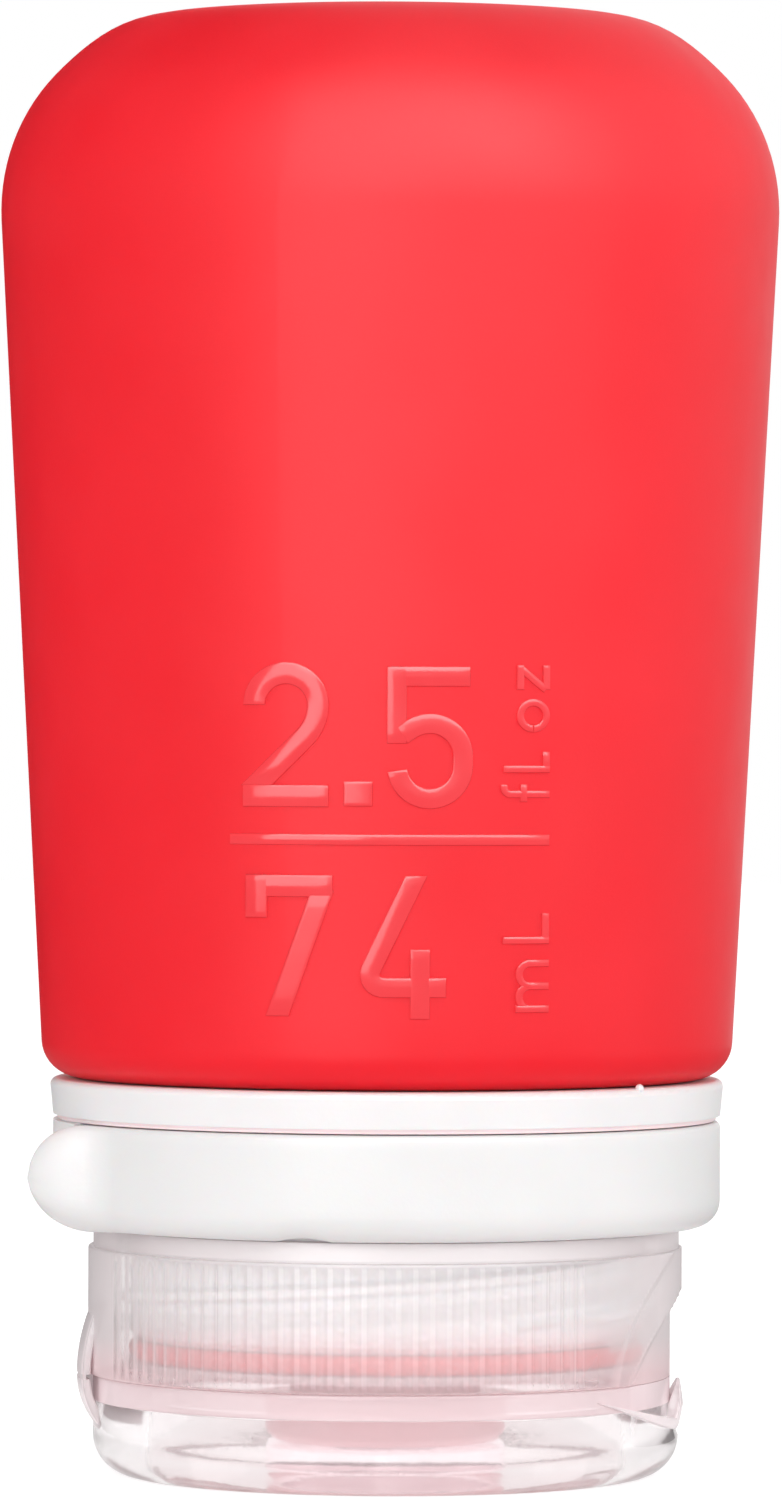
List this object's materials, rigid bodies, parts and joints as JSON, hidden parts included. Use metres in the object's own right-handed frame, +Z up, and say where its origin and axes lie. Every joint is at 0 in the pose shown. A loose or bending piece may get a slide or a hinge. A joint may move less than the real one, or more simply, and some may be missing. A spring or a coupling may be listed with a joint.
{
  "type": "travel silicone bottle",
  "caption": "Soft silicone travel squeeze bottle standing on its flip lid, with a ribbed screw cap, valve, collar and a swinging loop arm.",
  "frame": {"origin": "centre of the lid's flat end, on which the bottle stands", "axes": "+Z up along the bottle's axis towards the closed end of the silicone body; the lid's hinge is at -X, the thumb scoop at +X and the capacity marks face -Y"},
  "size_m": [0.0456, 0.0456, 0.0856],
  "materials": {
    "red_silicone": "frosted translucent silicone with a matt skin",
    "white_plastic": "satin white moulded plastic",
    "white_arm_plastic": "satin white moulded plastic",
    "pin_steel": "drawn steel wire",
    "clear_cap_plastic": "natural translucent polypropylene, finely frosted",
    "clear_lid_plastic": "natural translucent polypropylene, finely frosted",
    "clear_silicone": "milky clear silicone",
    "retainer_plastic": "natural translucent polypropylene",
    "gasket_silicone": "milky clear silicone"
  },
  "bodies": {
    "bottle": {"bottle_body": "red_silicone", "collar": "white_plastic", "loop_pin": "pin_steel"},
    "arm": {"loop_arm": "white_arm_plastic"},
    "seal": {"cap_gasket": "gasket_silicone"},
    "cap": {"cap_base": "clear_cap_plastic", "valve": "clear_silicone", "valve_retainer": "retainer_plastic"},
    "lid": {"flip_lid": "clear_lid_plastic"}
  },
  "joints": [
    {"name": "loop_swing", "type": "hinge", "parent": "bottle", "child": "arm", "pos_m": [0.01797, 0.00382, 0.0178], "axis": [0, 0, 1], "range_deg": [0, 90]},
    {"name": "cap_lift", "type": "slide", "parent": "bottle", "child": "seal", "axis": [0, 0, -1], "range_m": [0, 0.008]},
    {"name": "cap_turn", "type": "hinge", "parent": "seal", "child": "cap", "pos_m": [0, 0, 0], "axis": [0, 0, -1], "range_deg": [0, 480]},
    {"name": "lid_flip", "type": "hinge", "parent": "cap", "child": "lid", "pos_m": [-0.01815, 0, 0.00591], "axis": [0, 1, 0], "range_deg": [0, 165]}
  ],
  "couplings": [
    {"joint": "cap_turn", "follows": "cap_lift", "rad_per_m": 1047.2}
  ]
}
